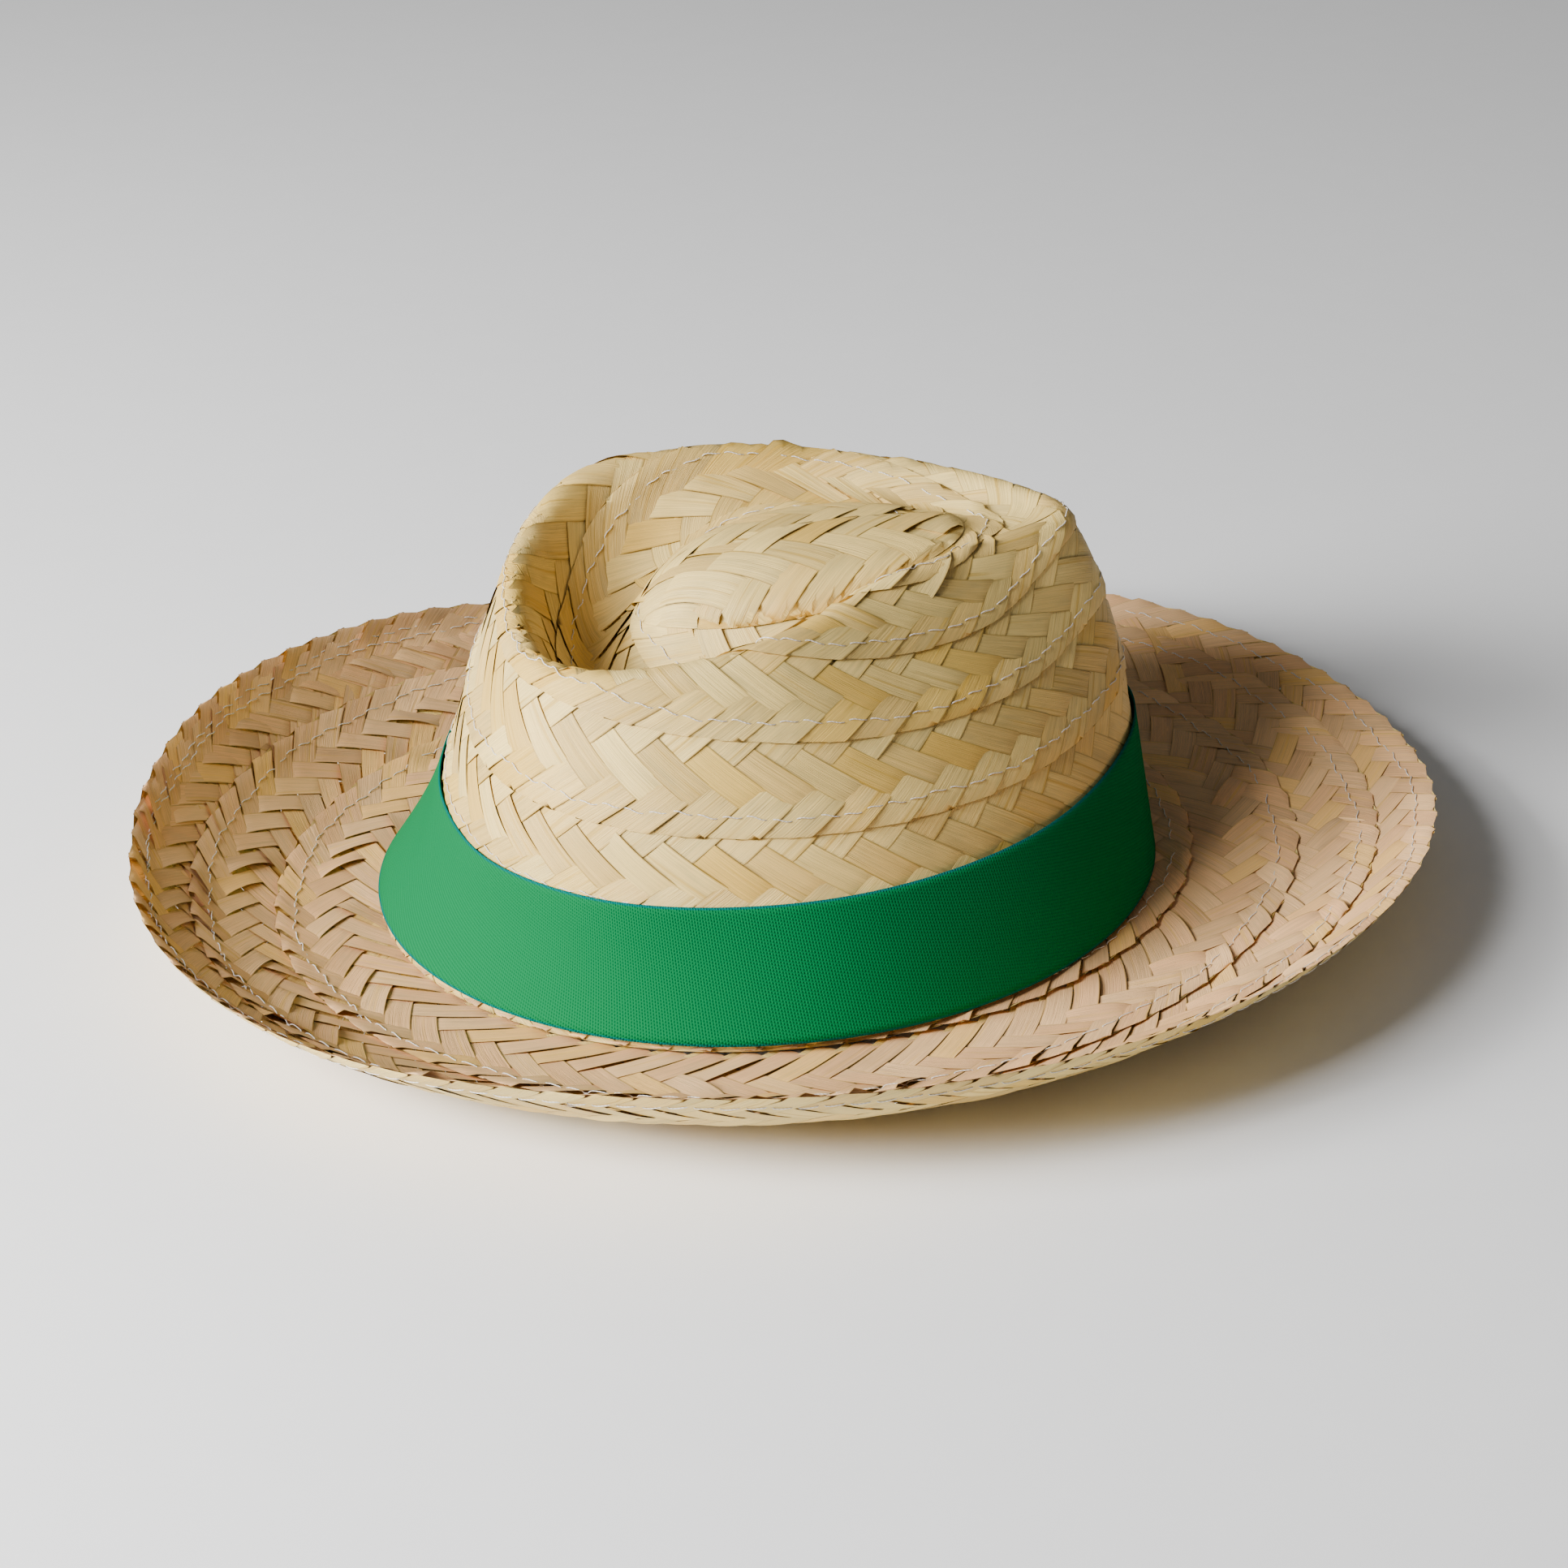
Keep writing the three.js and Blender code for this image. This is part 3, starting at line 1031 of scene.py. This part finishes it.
@dataclass(frozen=True)
class RibbonFinish:
    """Green twill ribbon with a bluish selvage, worn patches and single yarns."""

    name: str = "ribbon_twill"
    colour: Triple = (0.0, 0.175, 0.055)
    dark: Triple = (0.0, 0.135, 0.04)
    selvage: Triple = (0.0, 0.13, 0.11)
    cloud: Grain = Grain(0.03, 0.7, 0.0, 1.0, 3.0)
    weave: Grain = Grain(2.2, 30.0, 0.0, 1.0, 1.0)

    def material(self) -> bpy.types.Material:
        """Twill lines are sines of across plus a share of along; wear is low noise.

        Returns:
            The material.
        """
        s = Shader(self.name)
        along, across, _ = s.split(s.attribute("strand"))
        rib = (across * 130 + along * 2.2).sine() * 0.5 + 0.5
        yarn = (along * 9.0).sine() * 0.5 + 0.5
        cloud = s.grain(self.cloud, along, across, 0.0)
        weave = s.grain(self.weave, along, across, 0.0)
        colour = s.mix(rib * 0.55 + weave * 0.45, self.colour, self.dark)
        colour = s.mix(cloud.above(0.5, 0.35) * 0.3, colour, self.dark)
        colour = s.mix(abs(across).above(0.96, 0.015), colour, self.selvage)
        values = {"Base Color": colour, "Roughness": 0.78 + 0.12 * weave, "Specular IOR Level": 0.03}
        return s.finish(values, rib * yarn + 0.5 * weave, 0.5, 0.0004)


@dataclass(frozen=True)
class CrownWeave:
    """The crown's plait, from the foot of the wall to the mound.

    Near and top are distances from the foot: of the lowest free edge, on the wearer's right, and of the
    mound. Rows lie one pitch apart, and limits bound the distances that are covered.
    """

    form: HatForm
    plait: Plait
    near: float = 5.5
    pitch: float = 23.5
    top: float = 158.0
    limits: Pair = (-0.5, 171.0)
    samples: int = 400

    def spiral(self) -> Spiral:
        """Free edges fall by one pitch a turn, counted from the top.

        Returns:
            The plait's course, spread evenly up to the mound.
        """
        surface = self.form.crown()
        first = RIGHT - 360 * (self.top - self.near) / self.pitch
        last = RIGHT + 360 * (self.near + self.plait.width) / self.pitch
        degrees = np.linspace(first, last, self.samples)
        edges = self.near - self.pitch * (degrees - RIGHT) / 360
        return Spiral(surface, degrees, edges, 1, float(surface.totals.mean()), self.limits)


@dataclass(frozen=True)
class BrimWeave:
    """The brim's plait, which widens from the crown's foot to the rim in a loose spiral.

    Rim holds the first and last angle of the turn along the rim, and its step, in degrees.
    """

    form: HatForm
    rim: Triple = (1260.0, 1625.0, 5.0)
    margin: float = 0.6
    limits: Pair = (0.0, 200.0)
    lift: float = 0.7

    def spiral(self) -> Spiral:
        """Free edges as seen in the photo, then along the rim for the last turn.

        Returns:
            The plait's course, from the foot outwards.
        """
        surface = self.form.brim()
        seen, edges = BRIM_EDGES.T
        rim = np.arange(*self.rim)
        edges = np.concatenate([edges, surface.total(np.radians(rim)) - self.margin])
        degrees = np.concatenate([seen, rim])
        return Spiral(surface, degrees, edges, -1, 0.0, self.limits, self.lift)


@dataclass(frozen=True)
class MoundRow:
    """A straight Row on the mound, cut to an almond outline; its angle is x, its distance y.

    The free edge lies at y = free. The outline is the mound's edge times reach, and within roll of it the
    row comes up from the crown, clear of its straw. The plait is counted on past it by an overrun. A
    point's station is sought by halvings of the range from lowest to 1.
    """

    surface: Surface
    sizes: HatSizes
    free: float
    inward: int
    lift: float
    reach: float = 1.12
    roll: float = 0.07
    clear: float = 0.9
    overrun: float = 25.0
    samples: int = 200
    lowest: float = 0.6
    halvings: int = 16

    def _polar(self, x: Array, y: Array) -> tuple[Array, Array]:
        """Angle and radius, where the mound's edge is an ellipse of radius 1.

        Args:
            x: lengths along the hat.
            y: lengths across it.

        Returns:
            Angles in radians, and radii as shares of the edge's.
        """
        s = self.sizes
        dx, dy = (x - s.mound[0]) / s.mound_half[0], (y - s.mound[1]) / s.mound_half[1]
        return np.arctan2(dy, dx), np.hypot(dx, dy)

    def edge(self, x: Array) -> Array:
        """The free edge is straight."""
        return self.free + 0 * x

    def covers(self, x: Array, y: Array) -> Array:
        """Whether a point lies inside the outline."""
        return self._polar(x, y)[1] < self.reach

    def track(self, inset: float) -> tuple[Array, Array]:
        """x runs evenly, a little past the outline at both ends.

        Args:
            inset: distance from the free edge, which makes no difference on a straight row.

        Returns:
            Values of x, and the length run at each.
        """
        middle, half = self.sizes.mound[0], self.sizes.mound_half[0] * self.reach + self.overrun
        x = np.linspace(middle - half, middle + half, self.samples)
        return x, x - x[0]

    def place(self, x: Array, y: Array, height: Array) -> Array:
        """Finds the station under a point by halving; past the outline a point is drawn in to it.

        Args:
            x: lengths along the hat.
            y: lengths across it.
            height: heights over the row's middle.

        Returns:
            Positions.
        """
        angle, radius = self._polar(x, y)
        radius = np.minimum(radius, self.reach)
        low, high = np.full_like(radius, self.lowest), np.ones_like(radius)
        for _ in range(self.halvings):
            middle = (low + high) / 2
            point, _ = self.surface.at(angle, middle)
            outside = self._polar(point[..., 0], point[..., 1])[1] > radius
            low, high = np.where(outside, middle, low), np.where(outside, high, middle)
        point, normal = self.surface.at(angle, (low + high) / 2)
        rim = np.sqrt(1 - np.clip(1 - (self.reach - radius) / self.roll, 0, 1) ** 2)
        return point + normal * ((height + self.lift) * rim + self.clear)[..., None]


@dataclass(frozen=True)
class MoundPatch:
    """The middle of the crown: two straight rows of plait at heights of their own, lapped."""

    form: HatForm
    upper: float = 1.5
    lower: float = 0.3

    def rows(self, surface: Surface) -> tuple[MoundRow, MoundRow]:
        """The row on the wearer's right lies over the one on the left.

        Args:
            surface: the crown.

        Returns:
            The row on the right, and the one on the left.
        """
        s = self.form.sizes
        middle, half = s.mound[1], s.mound_half[1] * MoundRow.reach
        return (
            MoundRow(surface, s, middle - half, 1, self.upper),
            MoundRow(surface, s, middle + half, -1, self.lower),
        )


@dataclass(frozen=True)
class StrawPart:
    """One straw piece: a plait on both faces of its rows, and thread along the first of them."""

    node: str
    rows: tuple[Row, ...]
    plait: Plait
    outer: bpy.types.Material
    inner: bpy.types.Material
    thread: bpy.types.Material
    seed: int

    def build(self) -> None:
        """Weave and lining, which replace the node, and the thread, which is added."""
        for side, word, straw in ((Side.OUTER, "weave", self.outer), (Side.INNER, "lining", self.inner)):
            woven = joined([self.plait.floats(row, side, self.seed + 10 * side.value) for row in self.rows])
            obj = woven.build(f"{self.node}_{word}", straw)
            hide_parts(self.node)
        sewn = joined([Stitches().thread(self.rows[0], self.plait, side) for side in Side])
        sewn.build(f"{self.node}_thread", self.thread)


@dataclass(frozen=True)
class RibbonBand:
    """The ribbon round the crown, closest to it at its upper edge. Lengths are in millimetres.

    Its face is clear of the straw's middle, further by flare at the lower edge and closer by press at the
    upper one. Back and front give degrees, spread and height of the bells by which that edge stands off,
    and waves the count, phase and height of its slight waves. The sewn lap starts at seam and is lap long,
    with edges rounded over lap_edge, all in degrees.
    """

    form: HatForm
    foot: float = 1.2
    width: float = 35.2
    thickness: float = 0.4
    clear: float = 2.3
    flare: float = 0.5
    press: float = 0.5
    back: Triple = (178.0, 34.0, 0.1)
    front: Triple = (-12.0, 30.0, 0.15)
    waves: tuple[Triple, ...] = ((5.0, 1.0, 0.25), (11.0, 0.0, 0.15))
    seam: float = 104.0
    lap: float = 9.0
    lap_edge: float = 0.6
    around: int = 480
    across: int = 18

    def _outer(self, angle: Array, share: Array) -> Array:
        """Distance of the face: clearance, lower flare, upper press with its bells and waves, and lap.

        Args:
            angle: angles in radians.
            share: 0 at the lower edge to 1 at the upper one.

        Returns:
            Distances from the middle of the straw.
        """
        degrees = np.degrees(angle)
        upper = -self.press
        for centre, spread, height in (self.back, self.front):
            upper = upper + height * np.exp(-((((degrees - centre + 180) % 360 - 180) / spread) ** 2))
        stand = self.flare * (1 - share) ** 2 + share**1.5 * upper
        wave = sum(height * np.sin(angle * count + phase) for count, phase, height in self.waves) * share
        into, out = degrees - self.seam, self.seam + self.lap - degrees
        lap = self.thickness * smooth(into / self.lap_edge) * smooth(out / self.lap_edge)
        return self.clear + stand + wave + lap

    def mesh(self) -> tuple[MeshData, float]:
        """Face and back as one closed sheet; the seam's lap stands out by one thickness.

        Returns:
            The mesh, and the ribbon's length in millimetres.
        """
        surface = self.form.crown()
        angle = np.linspace(0, TURN, self.around, endpoint=False)[:, None]
        share = np.linspace(0, 1, self.across)[None, :]
        station = (self.foot + self.width * share) / surface.total(angle[:, 0])[:, None]
        point, normal = surface.at(angle + 0 * share, station)
        outer = self._outer(angle, share)
        face = point + normal * outer[..., None]
        rear = point + normal * (outer - self.thickness)[..., None]
        middle = face[:, self.across // 2]
        length = float(np.linalg.norm(np.roll(middle, -1, 0) - middle, axis=1).sum())
        ring = np.concatenate([face, rear[:, ::-1]], 1)
        columns = ring.shape[1]
        i, j = np.meshgrid(np.arange(self.around), np.arange(columns), indexing="ij")
        here, right = i * columns + j, i * columns + (j + 1) % columns
        after = (i + 1) % self.around * columns
        quads = np.stack([here, after + j, after + (j + 1) % columns, right], -1).reshape(-1, 4)
        run = np.arange(self.around)[:, None] * length / self.around + np.zeros((1, columns))
        side = np.concatenate([2 * share - 1, (2 * share - 1)[:, ::-1]], 1) + 0 * run
        strand = np.stack([run, side, 0 * run], -1).reshape(-1, 3)
        return MeshData(ring.reshape(-1, 3), quads, strand, np.zeros(len(strand))), length

    def build(self) -> None:
        """The sheet, its finish and what it stands for."""
        band, length = self.mesh()
        ribbon = band.build("ribbon", RibbonFinish().material())
        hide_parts("hatband")
        LOG.info("ribbon: %.0f mm long", length)


@dataclass(frozen=True)
class SoftLight:
    """A square area light that faces the hat. Lengths in metres, power in watts."""

    name: str
    place: Triple
    size: float
    power: float
    aim: Triple = (0.0, 0.0, 0.04)

    def build(self) -> None:
        """Turns the light's own downward axis to its aim, a point a little over the brim."""
        data = bpy.data.lights.new(self.name, "AREA")
        data.size, data.energy = self.size, self.power
        obj = bpy.data.objects.new(self.name, data)
        obj.location = self.place
        obj.rotation_euler = (Vector(self.aim) - Vector(self.place)).to_track_quat("-Z", "Y").to_euler()
        bpy.context.scene.collection.objects.link(obj)


@dataclass(frozen=True)
class Studio:
    """Pale floor, soft lights, and the camera at the photo's angle, in degrees and millimetres.

    The camera looks at the target, a point of the hat's own frame, and the floor lies a gap below the hat.
    """

    azimuth: float = -14.0
    elevation: float = 28.0
    distance: float = 1000.0
    roll: float = -2.21
    lens: float = 86.3
    sensor: float = 36.0
    clip: Pair = (50.0, 20000.0)
    target: Triple = (5.8, 0.0, 25.2)
    floor_half: float = 4000.0
    floor_gap: float = 0.4
    ambient: float = 0.13
    keys: tuple[SoftLight, ...] = (
        SoftLight("key_high", (-0.98, -0.42, 0.86), 0.45, 17.0),
        SoftLight("key_low", (-1.23, -0.13, 0.58), 0.5, 40.0),
    )

    def camera(self) -> None:
        """Looks at the target from azimuth and elevation, rolled about its own axis."""
        a, e, r = (math.radians(x) for x in (self.azimuth, self.elevation, self.roll))
        back = Vector((math.sin(a) * math.cos(e), -math.cos(a) * math.cos(e), math.sin(e)))
        right = Vector((math.cos(a), math.sin(a), 0))
        up = back.cross(right)
        turned_right = right * math.cos(r) + up * math.sin(r)
        turned_up = up * math.cos(r) - right * math.sin(r)
        data = bpy.data.cameras.new("camera")
        data.lens, data.sensor_width = self.lens, self.sensor
        data.clip_start, data.clip_end = self.clip[0] * MM, self.clip[1] * MM
        obj = bpy.data.objects.new("camera", data)
        bpy.context.scene.collection.objects.link(obj)
        eye = Vector((np.array(self.target) + SHIFT) * MM) + back * (self.distance * MM)
        turn = Matrix((turned_right, turned_up, back)).transposed()
        obj.matrix_world = Matrix.Translation(eye) @ turn.to_4x4()
        bpy.context.scene.camera = obj

    def floor(self) -> None:
        """One large quad just below the hat."""
        mesh = bpy.data.meshes.new("floor")
        half, low = self.floor_half * MM, -self.floor_gap * MM
        corners = [(-half, -half, low), (half, -half, low), (half, half, low), (-half, half, low)]
        mesh.from_pydata(corners, [], [(0, 1, 2, 3)])
        s = Shader("floor_paper")
        grain = s.noise(s.node("ShaderNodeTexCoord", {}, {}, "Object"), 60.0, 2.0)
        colour = s.mix(grain, (0.93, 0.93, 0.93), (0.96, 0.96, 0.96))
        mesh.materials.append(s.finish({"Base Color": colour, "Roughness": 0.9}, grain, 0.02, 0.0005))
        obj = bpy.data.objects.new("floor", mesh)
        bpy.context.scene.collection.objects.link(obj)

    def world(self) -> None:
        """Even white surroundings."""
        world = bpy.data.worlds.new("world")
        world.use_nodes = True
        background = world.node_tree.nodes["Background"]
        background.inputs["Color"].default_value = (1, 1, 1, 1)
        background.inputs["Strength"].default_value = self.ambient
        bpy.context.scene.world = world

    def build(self) -> None:
        """Sets the whole stage."""
        self.world()
        self.floor()
        for key in self.keys:
            key.build()
        self.camera()
        LOG.info("stage: floor, camera and %d lights", len(self.keys))


def save_bounds() -> None:
    """Brings the view layer up to date."""
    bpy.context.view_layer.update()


def build_straw(form: HatForm) -> None:
    """Builds crown and brim, with the finishes that they share.

    Args:
        form: the hat's surfaces.
    """
    plait = Plait(tooth=0.5, ruffle=1.8)
    broad = Plait(level=8.6, stretch=1.24, width=33.0, tilt=0.8, dive=0.55, loose=1.1, cover=0.98)
    crown = StrawFinish(
        "crown_straw", (0.86, 0.63, 0.21), (0.78, 0.53, 0.16), (0.62, 0.38, 0.06), (0.52, 0.40, 0.16)
    ).material()
    brim = StrawFinish(
        "brim_straw", (0.86, 0.52, 0.24), (0.84, 0.47, 0.21), (0.80, 0.47, 0.13), (0.60, 0.39, 0.20)
    ).material()
    thread = ThreadFinish().material()
    spiral = CrownWeave(form, plait).spiral()
    mound = MoundPatch(form).rows(spiral.surface)
    StrawPart("crown", (spiral, *mound), plait, crown, crown, thread, 11).build()
    StrawPart("brim", (BrimWeave(form).spiral(),), broad, brim, crown, thread, 41).build()


def main() -> None:
    """Loads the frame and builds the hat and its stage, in the order in which a hat is sewn."""
    logging.basicConfig(level=logging.INFO)
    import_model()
    save_bounds()
    form = HatForm()
    build_straw(form)
    RibbonBand(form).build()
    Studio().build()
    save_bounds()


if __name__ == "__main__":
    main()
